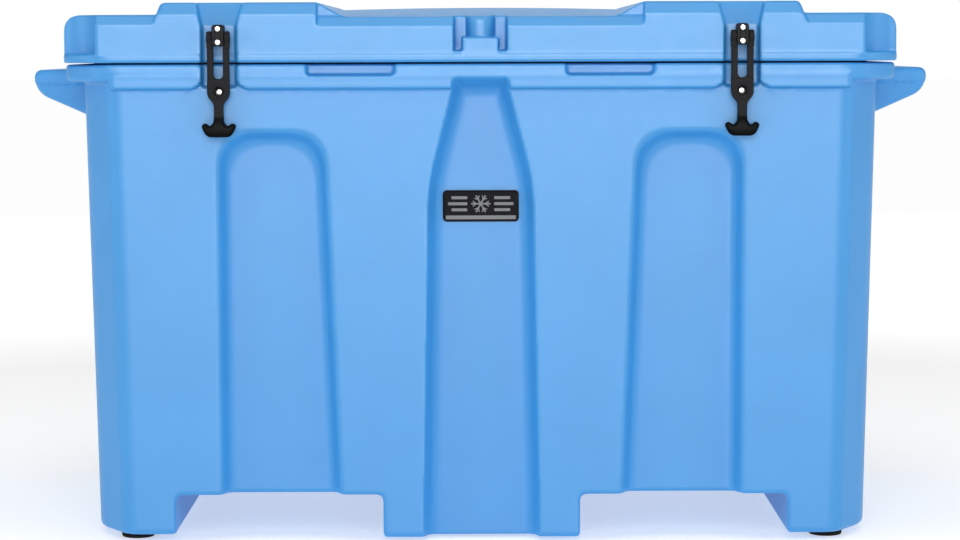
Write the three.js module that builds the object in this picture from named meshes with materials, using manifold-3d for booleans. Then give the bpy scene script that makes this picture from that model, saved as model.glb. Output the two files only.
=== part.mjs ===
// Large rotationally moulded insulated chest cooler, closed lid, seen from the front along +Y.
// Units are millimetres. +X is right, the front faces -Y, +Z is up, the floor is Z = 0.
import * as THREE from 'three';
import { mergeVertices } from 'three/addons/utils/BufferGeometryUtils.js';
import Module from 'manifold-3d';

const wasm = await Module();
wasm.setup();

// ---- driving sizes -------------------------------------------------------
const skin = 5;               // thickness of the moulded plastic skin
const gap = 0.3;              // clearance between neighbouring pieces
const draft = 0.0195;         // slope of the tub sides, narrower towards the floor
const bodyTopHalfX = 598.2;   // half length of the tub just under the rim
const bodyTopHalfY = 362;     // half depth of the tub just under the rim
const bodyRefZ = 690;         // height at which the two sizes above apply
const rimHalfX = 622.3;
const rimHalfY = 370;
const rimBottomZ = 689.4;
const rimTopZ = 714.4;
const bandBottomZ = 677.7;    // lower edge of the thicker front and back band
const bandHalfX = 545;
const cornerLegZ = 10.7;      // underside of the corner legs
const centreLegZ = 5.3;       // underside of the centre leg
const centreLegHalfX = 147.6;
const cornerLegX = 458.6;     // inner side of the corner legs
const pocketTopZ = 70.5;      // roof of the fork pockets
const linerHalfX = 541;
const linerHalfY = 306;
const linerFloorZ = 127;
const lidBottomZ = 717.3;
const lidFlangeZ = 730.2;
const lidTopZ = 788;
const padTopZ = 805.7;
const latchX = 385.3;
const strapFloorY = -354;       // floor of the strap channels in rim and lid
const pivotY = -372;
const pivotZ = 755;
const keeperZ = 673.9;
const hingeY = 373;
const hingeZ = 715.8;
const hingeX = 400;
const drainZ = 150;
const portX = 303;            // foam filling ports in the fork pocket roofs
const plugSeat = 3.4;         // depth of the seat around a port
const footX = 522;
const footY = 292;

// ---- colours -------------------------------------------------------------
const looks = {
  shell: { colour: 0x72b1ee, roughness: 0.55, metalness: 0 },
  lid: { colour: 0x85baee, roughness: 0.55, metalness: 0 },
  foam: { colour: 0xe8dcb4, roughness: 0.9, metalness: 0 },
  rubber: { colour: 0x242424, roughness: 0.75, metalness: 0 },
  nylon: { colour: 0x1c1c1c, roughness: 0.5, metalness: 0 },
  steel: { colour: 0xc9ccd0, roughness: 0.3, metalness: 1 },
  plate: { colour: 0x151515, roughness: 0.4, metalness: 0 },
};

// ---- solid helpers -------------------------------------------------------
function toSolid(geometry) {
  const plain = geometry.clone();
  plain.deleteAttribute('normal');
  plain.deleteAttribute('uv');
  const merged = mergeVertices(plain, 1e-4);
  return new wasm.Manifold(new wasm.Mesh({
    numProp: 3,
    vertProperties: Float32Array.from(merged.attributes.position.array),
    triVerts: Uint32Array.from(merged.index.array),
  }));
}

function toGeometry(solid) {
  const data = solid.getMesh();
  const geometry = new THREE.BufferGeometry();
  geometry.setAttribute('position', new THREE.BufferAttribute(Float32Array.from(data.vertProperties), 3));
  geometry.setIndex(new THREE.BufferAttribute(Uint32Array.from(data.triVerts), 1));
  return geometry;
}

// Closed skin through a list of rings with equal point counts.
function loft(rings) {
  const count = rings[0].length;
  const positions = [];
  const faces = [];
  for (const ring of rings) {
    for (const point of ring) {
      positions.push(point[0], point[1], point[2]);
    }
  }
  for (let level = 0; level < rings.length - 1; level += 1) {
    for (let i = 0; i < count; i += 1) {
      const j = (i + 1) % count;
      const a = level * count + i;
      const b = level * count + j;
      const c = a + count;
      const d = b + count;
      faces.push(a, b, d);
      faces.push(a, d, c);
    }
  }
  const cap = THREE.ShapeUtils.triangulateShape(flatten(rings[0]), []);
  const last = (rings.length - 1) * count;
  for (const tri of cap) {
    const [i, j, k] = [...tri].sort((p, q) => p - q);
    faces.push(i, k, j);
    faces.push(last + i, last + j, last + k);
  }
  const geometry = new THREE.BufferGeometry();
  geometry.setAttribute('position', new THREE.Float32BufferAttribute(positions, 3));
  geometry.setIndex(faces);
  if (signedVolume(geometry) < 0) {
    flip(geometry);
  }
  return toSolid(geometry);
}

// Two coordinates of a ring, leaving out the direction in which it varies least.
function flatten(ring) {
  const spans = [0, 1, 2].map((axis) => {
    const values = ring.map((point) => point[axis]);
    return Math.max(...values) - Math.min(...values);
  });
  const least = spans.indexOf(Math.min(...spans));
  const keep = [0, 1, 2].filter((axis) => axis !== least);
  return ring.map((point) => new THREE.Vector2(point[keep[0]], point[keep[1]]));
}

function signedVolume(geometry) {
  const p = geometry.attributes.position;
  const index = geometry.index.array;
  let total = 0;
  for (let k = 0; k < index.length; k += 3) {
    const a = new THREE.Vector3().fromBufferAttribute(p, index[k]);
    const b = new THREE.Vector3().fromBufferAttribute(p, index[k + 1]);
    const c = new THREE.Vector3().fromBufferAttribute(p, index[k + 2]);
    total += a.dot(b.cross(c)) / 6;
  }
  return total;
}

function flip(geometry) {
  const index = geometry.index.array;
  for (let k = 0; k < index.length; k += 3) {
    const swap = index[k + 1];
    index[k + 1] = index[k + 2];
    index[k + 2] = swap;
  }
}

// Ring in plan: a rectangle whose corners are cut off and softened.
function planRing(halfX, halfY, cutX, cutY, soft, z) {
  const corner = [];
  const a = [halfX, halfY - cutY];
  const b = [halfX - cutX, halfY];
  const length = Math.hypot(cutX, cutY);
  const ux = -cutX / length;
  const uy = cutY / length;
  const steps = 2;
  for (let i = 0; i <= steps; i += 1) {
    const t = i / steps;
    const p0 = [a[0], a[1] - soft];
    const p2 = [a[0] + ux * soft, a[1] + uy * soft];
    corner.push(bend(p0, a, p2, t));
  }
  for (let i = 0; i <= steps; i += 1) {
    const t = i / steps;
    const p0 = [b[0] - ux * soft, b[1] - uy * soft];
    const p2 = [b[0] - soft, b[1]];
    corner.push(bend(p0, b, p2, t));
  }
  const ring = [];
  for (const [sx, sy] of [[1, 1], [-1, 1], [-1, -1], [1, -1]]) {
    const points = corner.map((point) => [point[0] * sx, point[1] * sy, z]);
    if (sx * sy < 0) {
      points.reverse();
    }
    ring.push(...points);
  }
  return ring;
}

function bend(p0, p1, p2, t) {
  const u = 1 - t;
  return [
    u * u * p0[0] + 2 * u * t * p1[0] + t * t * p2[0],
    u * u * p0[1] + 2 * u * t * p1[1] + t * t * p2[1],
  ];
}

function box(x0, x1, y0, y1, z0, z1) {
  const geometry = new THREE.BoxGeometry(x1 - x0, y1 - y0, z1 - z0);
  geometry.translate((x0 + x1) / 2, (y0 + y1) / 2, (z0 + z1) / 2);
  return toSolid(geometry);
}

// Round bar along one axis, from start to end on that axis; radii may differ.
function rod(axis, radiusStart, radiusEnd, start, end, centre, segments) {
  const geometry = new THREE.CylinderGeometry(radiusEnd, radiusStart, end - start, segments);
  if (axis === 'x') {
    geometry.rotateZ(-Math.PI / 2);
    geometry.translate((start + end) / 2, centre[0], centre[1]);
  }
  if (axis === 'y') {
    geometry.translate(centre[0], (start + end) / 2, centre[1]);
  }
  if (axis === 'z') {
    geometry.rotateX(Math.PI / 2);
    geometry.translate(centre[0], centre[1], (start + end) / 2);
  }
  return toSolid(geometry);
}

// Outline in X and Z pushed along Y from y0 to y1.
function plate(outline, y0, y1) {
  const near = outline.map((point) => [point[0], y0, point[1]]);
  const far = outline.map((point) => [point[0], y1, point[1]]);
  return loft([near, far]);
}

// Front and side planes of the tub at a given height.
function faceY(z) {
  return bodyTopHalfY - (bodyRefZ - z) * draft;
}

function sideX(z) {
  return bodyTopHalfX - (bodyRefZ - z) * draft;
}

// ---- tub -----------------------------------------------------------------
function tubBody(s) {
  const rings = [];
  for (const z of [centreLegZ + s, rimTopZ - s]) {
    rings.push(planRing(sideX(z) - s, faceY(z) - s, 52, 80, 14, z));
  }
  return loft(rings);
}

function rim(s) {
  return loft([
    planRing(rimHalfX - s, rimHalfY - s, 62, 62, 26, rimBottomZ + s),
    planRing(rimHalfX - s, rimHalfY - s, 62, 62, 26, rimTopZ - s),
  ]);
}

function liner(s) {
  const rings = [];
  const levels = [
    [linerFloorZ - s, 24],
    [linerFloorZ + 7 - s, 10],
    [linerFloorZ + 24 - s, 0],
    [rimTopZ + 6, 0],
  ];
  for (const [z, inset] of levels) {
    const shrink = (rimTopZ - z) * 0.0165 + inset - s;
    rings.push(planRing(linerHalfX - shrink, linerHalfY - shrink, 34, 34, 20, z));
  }
  return loft(rings);
}

// Arched panel pressed into the front or the back, open at its lower end.
function archOutline(inset) {
  const left = -389 + inset;
  const rightLow = -209 - inset;
  const rightHigh = -229 - inset;
  const top = 614.7 - inset;
  const radius = 46 - Math.min(inset, 20) * 0.6;
  const points = [[left, 40], [rightLow, 40]];
  for (let i = 0; i <= 4; i += 1) {
    const angle = (i / 4) * Math.PI * 0.5;
    points.push([rightHigh - radius + radius * Math.cos(angle), top - radius + radius * Math.sin(angle)]);
  }
  for (let i = 0; i <= 4; i += 1) {
    const angle = (0.5 + (i / 4) * 0.5) * Math.PI;
    points.push([left + radius + radius * Math.cos(angle), top - radius + radius * Math.sin(angle)]);
  }
  return points;
}

// Centre channel in the outline of a bottle: narrow neck, sloping shoulders, wide lower part.
function channelOutline(inset) {
  const halves = [[88 - inset, -20], [77.5 - inset, 537], [38 - inset, rimBottomZ - inset + 1]];
  const right = halves.map(([x, z]) => [x, z]);
  const left = halves.map(([x, z]) => [-x, z]).reverse();
  return [...right, ...left];
}

// Recess cutter whose walls lean outwards towards the open side.
function recess(outlineAt, depth, lean, s, side) {
  const near = outlineAt(-lean * (30 / depth) - s);
  const far = outlineAt(lean - s);
  const out = 30;
  return loft([
    near.map(([x, z]) => [x, side * (faceY(z) + out), z]),
    far.map(([x, z]) => [x, side * (faceY(z) - depth - s), z]),
  ]);
}

function handle(sign) {
  const outline = [[586, 636], [601, 641], [678, 670]];
  for (let i = 0; i <= 5; i += 1) {
    const angle = (-70 + i * 32) * Math.PI / 180;
    outline.push([673 + 18 * Math.cos(angle), 688.3 + 17.7 * Math.sin(angle)]);
  }
  outline.push([586, 706]);
  const points = outline.map(([x, z]) => [x * sign, z]);
  const bar = plate(points, -190, 190);
  const grip = loft([
    gripRing(sign, 600), gripRing(sign, 730),
  ]);
  return bar.subtract(grip);
}

function gripRing(sign, z) {
  const x0 = 623;
  const x1 = 659;
  const half = 142;
  const cut = 12;
  const ring = [
    [x0, -half + cut], [x0 + cut, -half], [x1 - cut, -half], [x1, -half + cut],
    [x1, half - cut], [x1 - cut, half], [x0 + cut, half], [x0, half - cut],
  ];
  return ring.map(([x, y]) => [x * sign, y, z]);
}

function tubForm(s) {
  let solid = tubBody(s).add(rim(s));
  for (const sign of [-1, 1]) {
    const a = centreLegHalfX - s;
    const b = cornerLegX + s;
    const low = sign > 0 ? [a, 700] : [-700, -a];
    solid = solid.subtract(box(low[0], low[1], -500, 500, -50, cornerLegZ + s));
    const pocket = sign > 0 ? [a, b] : [-b, -a];
    solid = solid.subtract(box(pocket[0], pocket[1], -500, 500, -50, pocketTopZ + s));
    for (const side of [-1, 1]) {
      const mirrored = (inset) => archOutline(inset).map(([x, z]) => [x * -sign, z]);
      solid = solid.subtract(recess(mirrored, 25, 12, s, side));
    }
    const grip = [sign * 191.5 - 65 - s, sign * 191.5 + 65 + s];
    solid = solid.subtract(box(grip[0], grip[1], -420, -357 + s, 698.1 - s, 730));
    const strap = [sign * latchX - 25.5 - s, sign * latchX + 25.5 + s];
    solid = solid.subtract(box(strap[0], strap[1], -420, strapFloorY + s, 681 - s, 730));
    // room for the round knuckle of the lid
    const knuckle = [sign * hingeX - 26 - s, sign * hingeX + 26 + s];
    solid = solid.subtract(rod('x', 12 + s, 12 + s, knuckle[0], knuckle[1], [hingeY, hingeZ], 16));
    for (const side of [-1, 1]) {
      const cap = sign * hingeX + side * 62;
      solid = solid.subtract(rod('x', 9 + s, 9 + s, cap - 3 - s, cap + 3 + s, [hingeY, hingeZ], 16));
    }
  }
  solid = solid.subtract(recess(channelOutline, 30, 12, s, -1));
  solid = solid.subtract(liner(s));
  // drain recess and drain bore in the left end
  solid = solid.subtract(rod('x', 40 + s, 36 + s, -640, -569 + s, [0, drainZ], 18));
  solid = solid.subtract(rod('x', 16 + s, 16 + s, -640, -500, [0, drainZ], 18));
  return solid;
}

function tubBosses() {
  const solids = [];
  for (const sign of [-1, 1]) {
    solids.push(box(sign * latchX - 14, sign * latchX + 14, -380, -343, keeperZ - 14, keeperZ + 14));
    solids.push(rod('z', 25, 25, 60, pocketTopZ + plugSeat + skin, [sign * portX, 0], 16));
    for (const side of [-1, 1]) {
      solids.push(rod('z', 11, 11, 0, 44, [sign * footX, side * footY], 12));
      // solid backing behind each fixed knuckle
      const x0 = sign * hingeX + side * 43 - 17;
      solids.push(box(x0, x0 + 34, 352, 380, 690, 720));
    }
  }
  return solids;
}

function tubShell() {
  let outer = tubForm(0);
  // thicker band below the rim along the front and the back
  for (const side of [-1, 1]) {
    let band = loft([
      planRing(bandHalfX, rimHalfY, 6, 6, 3, bandBottomZ),
      planRing(bandHalfX + 6, rimHalfY, 6, 6, 3, rimBottomZ + 0.5),
    ]);
    band = band.intersect(side < 0 ? box(-600, 600, -400, -352, 600, 720) : box(-600, 600, 352, 400, 600, 720));
    if (side < 0) {
      for (const sign of [-1, 1]) {
        band = band.subtract(box(sign * latchX - 25.5, sign * latchX + 25.5, -420, -361.6, 600, 730));
      }
      band = band.subtract(recess((inset) => channelOutline(inset), 30, 12, 0, -1));
    }
    outer = outer.add(band);
  }
  for (const sign of [-1, 1]) {
    outer = outer.add(handle(sign));
    for (const side of [-1, 1]) {
      const x0 = sign * hingeX + side * 43 - 16;
      outer = outer.add(rod('x', 11, 11, x0, x0 + 32, [hingeY, hingeZ], 16));
      outer = outer.add(box(x0, x0 + 32, 362, 377, 696, 712));
    }
  }
  outer = outer.subtract(liner(0));
  let cavity = tubForm(skin);
  for (const boss of tubBosses()) {
    cavity = cavity.subtract(boss);
  }
  let shell = outer.subtract(cavity);
  for (const sign of [-1, 1]) {
    // foam filling ports in the roofs of the fork pockets, with a seat for a flush plug
    shell = shell.subtract(rod('z', 15, 15, 60, 90, [sign * portX, 0], 16));
    shell = shell.subtract(rod('z', 20, 20, 60, pocketTopZ + plugSeat, [sign * portX, 0], 16));
    // keeper screw hole
    shell = shell.subtract(rod('y', 2.5, 2.5, -380, -349, [sign * latchX, keeperZ], 8));
    // hinge pin bores
    shell = shell.subtract(rod('x', 4.3, 4.3, sign * hingeX - 70, sign * hingeX + 70, [hingeY, hingeZ], 12));
    for (const side of [-1, 1]) {
      shell = shell.subtract(rod('z', 2.8, 2.8, 0, 36, [sign * footX, side * footY], 8));
    }
  }
  return shell;
}

function tubFoam() {
  let foam = tubForm(skin + gap);
  for (const sign of [-1, 1]) {
    const bossX = [sign * latchX - 14 - gap, sign * latchX + 14 + gap];
    const bossZ = [keeperZ - 14 - gap, keeperZ + 14 + gap];
    foam = foam.subtract(box(bossX[0], bossX[1], -380, -343 + gap, bossZ[0], bossZ[1]));
    foam = foam.subtract(rod('z', 25.5, 25.5, 60, pocketTopZ + plugSeat + skin + gap, [sign * portX, 0], 16));
    for (const side of [-1, 1]) {
      foam = foam.subtract(rod('z', 11.4, 11.4, 0, 44 + gap, [sign * footX, side * footY], 12));
      const x0 = sign * hingeX + side * 43 - 17 - gap;
      foam = foam.subtract(box(x0, x0 + 34 + 2 * gap, 352 - gap, 380, 690 - gap, 720));
    }
  }
  return foam;
}

// ---- lid -----------------------------------------------------------------
function lidSlab(s) {
  const rows = [
    [lidBottomZ + s, 624, 370],
    [lidFlangeZ, 624, 370],
    [lidFlangeZ + 1.2, 621.6, 367.6],
    [766, 620.6, 367],
    [777, 616.5, 361.5],
    [784.5, 608, 355],
    [lidTopZ - s, 596, 349],
  ];
  return loft(rows.map(([z, hx, hy]) => planRing(hx - s, hy - s, 50, 50, 22, Math.min(z, lidTopZ - s))));
}

function lidPad(sign, s) {
  const low = { x0: 205 + s, x1: 480 - s, y: 366 - s };
  const high = { x0: 239 + s, x1: 472 - s, y: 353 - s };
  const ring = (r, z) => {
    const c = 5;
    const points = [
      [r.x0 + c, -r.y], [r.x1 - c, -r.y], [r.x1, -r.y + c], [r.x1, r.y - c],
      [r.x1 - c, r.y], [r.x0 + c, r.y], [r.x0, r.y - c], [r.x0, -r.y + c],
    ];
    return points.map(([x, y]) => [x * sign, y, z]);
  };
  return loft([
    ring({ x0: low.x0, x1: low.x1, y: low.y }, 735),
    ring({ x0: low.x0 + 22, x1: low.x1 - 3, y: low.y }, 787),
    ring({ x0: high.x0 - 4, x1: high.x1 + 2, y: high.y + 4 }, padTopZ - 4 - s),
    ring(high, padTopZ - s),
  ]);
}

// Low crown between the two pads, highest in the middle of the lid.
function crownHeight(x, y) {
  const across = 1 - (y / 352) * (y / 352);
  const along = 1 - 0.28 * (x / 230) * (x / 230);
  return 784 + 17.7 * across * along;
}

function crown(s) {
  const nx = 6;
  const ny = 8;
  const rings = [];
  for (let i = 0; i <= nx; i += 1) {
    const x = -236 + s + (472 - 2 * s) * (i / nx);
    const ring = [];
    for (let j = 0; j <= ny; j += 1) {
      const y = -350 + s + (700 - 2 * s) * (j / ny);
      ring.push([x, y, crownHeight(x, y) - s]);
    }
    ring.push([x, 350 - s, 745]);
    ring.push([x, -350 + s, 745]);
    rings.push(ring);
  }
  return loft(rings);
}

function lidForm(s) {
  let solid = lidSlab(s);
  // the slab is a little lower between the pads than at its ends
  solid = solid.subtract(box(-226, 226, -500, 500, 782 - s, 900));
  solid = solid.add(crown(s)).add(lidPad(-1, s)).add(lidPad(1, s));
  for (const sx of [-1, 1]) {
    for (const sy of [-1, 1]) {
      solid = solid.subtract(rod('z', 56 + s, 56 + s, lidFlangeZ + 1 - s, 830, [sx * 623, sy * 371], 24));
    }
  }
  const lip = [];
  for (const z of [701 + s, 745]) {
    lip.push(planRing(536 - s, 301 - s, 34, 34, 20, z));
  }
  solid = solid.add(loft(lip));
  for (const sign of [-1, 1]) {
    // strap channel with a ramp that opens towards the top
    const x0 = sign * latchX - 25.5 - s;
    const x1 = sign * latchX + 25.5 + s;
    solid = solid.subtract(box(x0, x1, -420, strapFloorY + s, 700, 820));
    const ramp = [
      [[x0, -400, 771 - s], [x1, -400, 771 - s], [x1 + 14, -400, 830], [x0 - 14, -400, 830]],
      [[x0, -354 + s, 771 - s], [x1, -354 + s, 771 - s], [x1 + 14, -307 + s, 830], [x0 - 14, -307 + s, 830]],
    ];
    solid = solid.subtract(loft(ramp));
    // room for the fixed knuckles
    for (const side of [-1, 1]) {
      const k = sign * hingeX + side * 46;
      solid = solid.subtract(rod('x', 12 + s, 12 + s, k - 20 - s, k + 20 + s, [hingeY, hingeZ], 16));
    }
  }
  // finger recess in the middle of the front edge
  solid = solid.subtract(box(-39.2 - s, 39.2 + s, -420, -341 + s, 733.6 - s, 830));
  return solid;
}

function gasketRing(halfX, halfY, z) {
  return planRing(halfX, halfY, 40, 40, 22, z);
}

function gasketGroove(inner, outer, z0, z1) {
  const big = loft([gasketRing(581 + outer, 337 + outer, z0), gasketRing(581 + outer, 337 + outer, z1)]);
  const small = loft([gasketRing(581 - inner, 337 - inner, z0 - 1), gasketRing(581 - inner, 337 - inner, z1 + 1)]);
  return big.subtract(small);
}

function lidBossBoxes(grow) {
  const solids = [];
  for (const sign of [-1, 1]) {
    const x = sign * latchX;
    solids.push(box(x - 13 - grow, x + 13 + grow, -370, -330 + grow, 738 - grow, 776 + grow));
    const k = sign * hingeX;
    solids.push(box(k - 27 - grow, k + 27 + grow, 346 - grow, 372, 715, 734 + grow));
  }
  solids.push(gasketGroove(skin + 4.4 + grow, skin + 4.4 + grow, 716, 722.3 + skin + grow));
  // half round pull and ledge inside the finger recess are solid plastic
  return solids;
}

function lidShell() {
  let outer = lidForm(0);
  outer = outer.add(rod('z', 19, 19, 733, 784, [0, -341], 20).intersect(box(-30, 30, -370, -330, 700, 784)));
  outer = outer.add(box(-27, 27, -368, -338, 732, 752.8));
  for (const sign of [-1, 1]) {
    const k = sign * hingeX;
    outer = outer.add(rod('x', 11, 11, k - 25, k + 25, [hingeY, hingeZ], 16));
    outer = outer.add(box(k - 25, k + 25, 360, 380, 718, 728));
  }
  let cavity = lidForm(skin);
  for (const boss of lidBossBoxes(0)) {
    cavity = cavity.subtract(boss);
  }
  let shell = outer.subtract(cavity);
  shell = shell.subtract(gasketGroove(4.4, 4.4, 700, 722.3));
  shell = shell.subtract(rod('z', 13, 13, 690, 712, [0, 200], 16));
  for (const sign of [-1, 1]) {
    const k = sign * hingeX;
    shell = shell.subtract(rod('x', 4.3, 4.3, k - 70, k + 70, [hingeY, hingeZ], 12));
    for (const z of [766.7, 746.9]) {
      shell = shell.subtract(rod('y', 2.5, 2.5, -380, -335, [sign * latchX, z], 8));
    }
  }
  return shell;
}

function lidFoam() {
  let foam = lidForm(skin + gap);
  for (const boss of lidBossBoxes(gap)) {
    foam = foam.subtract(boss);
  }
  return foam;
}

// ---- latches -------------------------------------------------------------
function latchStrap(x) {
  const y0 = -377;
  const y1 = -367;
  let solid = null;
  const join = (piece) => {
    solid = solid === null ? piece : solid.add(piece);
  };
  for (const sign of [-1, 1]) {
    // eye around the pivot pin, then one of the two strips
    join(rod('x', 8, 8, Math.min(sign * 9.1, sign * 17), Math.max(sign * 9.1, sign * 17), [pivotY, pivotZ], 16));
    join(plate([[sign * 9.1, 732], [sign * 17, 732], [sign * 17, 755], [sign * 9.1, 755]], y0, y1));
    join(plate([[sign * 6.6, 688], [sign * 16.9, 688], [sign * 16.9, 736.5], [sign * 6.6, 736.5]], y0, y1));
  }
  join(plate([
    [-7.3, 654], [7.3, 654], [16.5, 665.5], [16.5, 689.5], [14.5, 691.6], [-14.5, 691.6], [-16.5, 689.5],
    [-16.5, 665.5],
  ], y0, y1));
  join(plate([[-7.3, 620], [7.3, 620], [7.3, 656], [-7.3, 656]], y0 - 1, y1));
  // cross handle with raised rounded arms
  const arm = [];
  for (let i = 0; i <= 6; i += 1) {
    const t = -1 + i / 3;
    arm.push([t * 22.5, 607 + 4.5 * t * t]);
  }
  arm.push([23.5, 617], [23, 622.5], [19.5, 625.6], [15, 623], [9, 620.5]);
  arm.push([-9, 620.5], [-15, 623], [-19.5, 625.6], [-23, 622.5], [-23.5, 617]);
  join(plate(arm, -384, y1));
  solid = solid.subtract(rod('y', 8.4, 8.4, -400, -350, [0, keeperZ], 18));
  solid = solid.subtract(rod('x', 3.3, 3.3, -30, 30, [pivotY, pivotZ], 12));
  return solid.translate([x, 0, 0]);
}

function latchAnchor(x) {
  const outline = [
    [-8.8, 741], [-5.8, 738], [5.8, 738], [8.8, 741], [8.8, 769], [5.8, 772], [-5.8, 772], [-8.8, 769],
  ];
  let solid = plate(outline, -381, strapFloorY - gap);
  solid = solid.subtract(rod('x', 3.3, 3.3, -30, 30, [pivotY, pivotZ], 12));
  for (const z of [766.7, 746.9]) {
    solid = solid.subtract(rod('y', 2.5, 2.5, -400, -350, [0, z], 8));
    solid = solid.subtract(rod('y', 4.5, 4.5, -400, -378, [0, z], 12));
  }
  return solid.translate([x, 0, 0]);
}

// Pan head screw with its axis along Y, head towards the front.
function frontScrew(x, z, headY, headRadius, headHeight, tipY) {
  const shank = rod('y', 2.2, 2.2, headY + headHeight - 0.5, tipY, [x, z], 8);
  const socket = rod('y', 1.7, 1.7, headY - 1, headY + 1.4, [x, z], 6);
  return rod('y', headRadius - 0.6, headRadius, headY, headY + headHeight, [x, z], 12).add(shank).subtract(socket);
}

function keeper(x) {
  let solid = rod('y', 7.0, 7.6, -366.5, -362, [x, keeperZ], 16);
  solid = solid.subtract(rod('y', 2.5, 2.5, -370, -350, [x, keeperZ], 8));
  solid = solid.subtract(rod('y', 5.4, 5.4, -370, -364.2, [x, keeperZ], 12));
  return solid;
}

// ---- feet, plugs, drain, badge -------------------------------------------
function foot(x, y) {
  let solid = rod('z', 24.5, 26, 0, cornerLegZ - gap, [x, y], 18);
  solid = solid.subtract(rod('z', 2.8, 2.8, -5, 20, [x, y], 8));
  solid = solid.subtract(rod('z', 6.2, 6.2, -5, 5.5, [x, y], 12));
  return solid;
}

function footScrew(x, y) {
  const head = rod('z', 5.3, 5.6, 2.2, 5.2, [x, y], 12);
  const shank = rod('z', 2.4, 2.4, 5, 34, [x, y], 8);
  return head.add(shank).subtract(rod('z', 1.9, 1.9, 0, 3.8, [x, y], 6));
}

function fillPlug(x, y, z, flangeRadius, barrelRadius, flangeHeight) {
  const flange = rod('z', flangeRadius - 0.6, flangeRadius, z, z + flangeHeight, [x, y], 16);
  return flange.add(rod('z', barrelRadius, barrelRadius, z + 0.5, z + flangeHeight + skin - 0.5, [x, y], 16));
}

function drainBulkhead() {
  let solid = rod('x', 20, 21, -573, -569 - gap, [0, drainZ], 18);
  solid = solid.add(rod('x', 15.7, 15.7, -570, -532, [0, drainZ], 18));
  return solid.subtract(rod('x', 10, 10, -600, -500, [0, drainZ], 16));
}

function drainCap() {
  const points = [];
  const lobes = 36;
  for (let i = 0; i < lobes; i += 1) {
    const angle = (i / lobes) * Math.PI * 2;
    const radius = i % 6 < 3 ? 17 : 15.2;
    points.push([radius * Math.cos(angle), drainZ + radius * Math.sin(angle)]);
  }
  const knob = loft([
    points.map(([y, z]) => [-586, y * 0.94, drainZ + (z - drainZ) * 0.94]),
    points.map(([y, z]) => [-575.9, y, z]),
  ]);
  return knob.add(rod('x', 9.6, 9.6, -577, -555, [0, drainZ], 16));
}

function drainSeal() {
  const geometry = new THREE.TorusGeometry(11.2, 1.2, 6, 18);
  geometry.rotateY(Math.PI / 2);
  geometry.translate(-574.4, 0, drainZ);
  return toSolid(geometry);
}

function badge() {
  const outline = [];
  const half = 56.6;
  const z0 = 479.3;
  const z1 = 526.2;
  const radius = 6;
  const corners = [[1, z0 + radius, 3], [1, z1 - radius, 0], [-1, z1 - radius, 1], [-1, z0 + radius, 2]];
  for (const [sign, z, quarter] of corners) {
    for (let i = 0; i <= 2; i += 1) {
      const angle = (quarter + i / 2) * Math.PI * 0.5;
      outline.push([sign * (half - radius) + radius * Math.cos(angle), z + radius * Math.sin(angle)]);
    }
  }
  const floor = (z) => -(faceY(z) - 30);
  return loft([
    outline.map(([x, z]) => [x, floor(z) - 3.2, z]),
    outline.map(([x, z]) => [x, floor(z) - gap, z]),
  ]);
}

function hingePin(x) {
  return rod('x', 4, 4, x - 61, x + 61, [hingeY, hingeZ], 12);
}

function hingeCap(x, side) {
  const start = x + side * 59.3;
  const end = x + side * 63.6;
  const lo = Math.min(start, end);
  const hi = Math.max(start, end);
  const cap = rod('x', 8, 8, lo, hi, [hingeY, hingeZ], 12);
  const bore = side > 0 ? [lo - 1, x + 61 + gap] : [x - 61 - gap, hi + 1];
  return cap.subtract(rod('x', 4.3, 4.3, bore[0], bore[1], [hingeY, hingeZ], 12));
}

// ---- assembly ------------------------------------------------------------
const group = new THREE.Group();
group.name = 'insulated_chest_cooler';

function addPiece(name, solid, look) {
  const material = new THREE.MeshStandardMaterial({
    color: look.colour,
    roughness: look.roughness,
    metalness: look.metalness,
    flatShading: true,
  });
  const mesh = new THREE.Mesh(toGeometry(solid), material);
  mesh.name = name;
  group.add(mesh);
}

addPiece('tub_shell', tubShell(), looks.shell);
addPiece('tub_foam_core', tubFoam(), looks.foam);
addPiece('lid_shell', lidShell(), looks.lid);
addPiece('lid_foam_core', lidFoam(), looks.foam);
addPiece('lid_gasket', gasketGroove(4, 4, rimTopZ + gap, 721.9), looks.rubber);
addPiece('lid_fill_plug', fillPlug(0, 200, 701 - 2.4, 16, 12.7, 2.1), looks.nylon);
addPiece('badge_plate', badge(), looks.plate);
addPiece('drain_bulkhead', drainBulkhead(), looks.nylon);
addPiece('drain_cap', drainCap(), looks.nylon);
addPiece('drain_cap_seal', drainSeal(), looks.rubber);

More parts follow.
